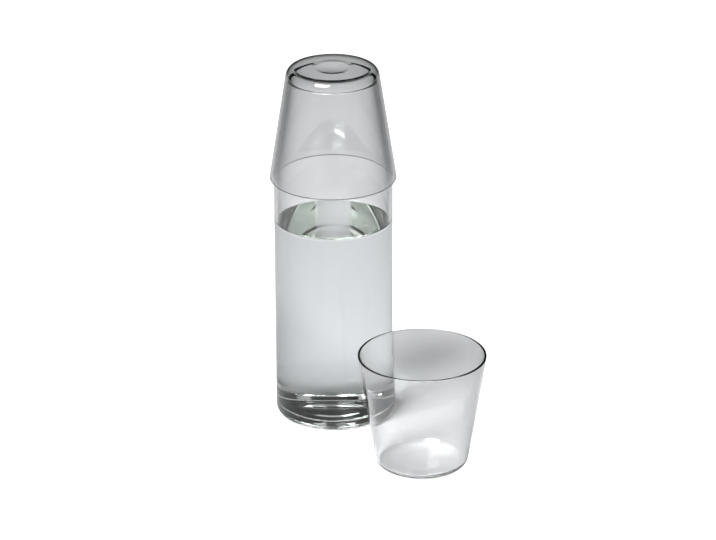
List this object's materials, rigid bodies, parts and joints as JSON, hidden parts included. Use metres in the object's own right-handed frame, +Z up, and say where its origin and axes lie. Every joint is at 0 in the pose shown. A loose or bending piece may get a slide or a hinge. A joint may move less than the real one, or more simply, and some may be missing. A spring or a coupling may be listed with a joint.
{
  "type": "bedside carafe with tumblers",
  "caption": "Clear glass bedside carafe of water with a tumbler turned over its neck as a lid and a matching tumbler standing beside it.",
  "frame": {"origin": "middle of the face that the carafe stands on, on the carafe's axis", "axes": "+Z up along the carafe's axis; -Y is the front, the side that the second tumbler stands on, and +X is to the right as seen from the front"},
  "size_m": [0.1434, 0.1708, 0.2481],
  "materials": {
    "carafe_glass": "clear, fire-polished",
    "water": "clear still water",
    "lid_tumbler_glass": "clear, fire-polished",
    "second_tumbler_glass": "clear, fire-polished"
  },
  "bodies": {
    "carafe_body": {"carafe": "carafe_glass", "water": "water"},
    "lid_body": {"lid_tumbler": "lid_tumbler_glass"},
    "second_tumbler_body": {"second_tumbler": "second_tumbler_glass"}
  },
  "joints": [
    {"name": "lid_lift", "type": "slide", "parent": "carafe_body", "child": "lid_body", "axis": [0, 0, 1], "range_m": [0, 0.12]},
    {"name": "second_tumbler_lift", "type": "slide", "parent": "carafe_body", "child": "second_tumbler_body", "axis": [0, 0, 1], "range_m": [0, 0.12]}
  ]
}
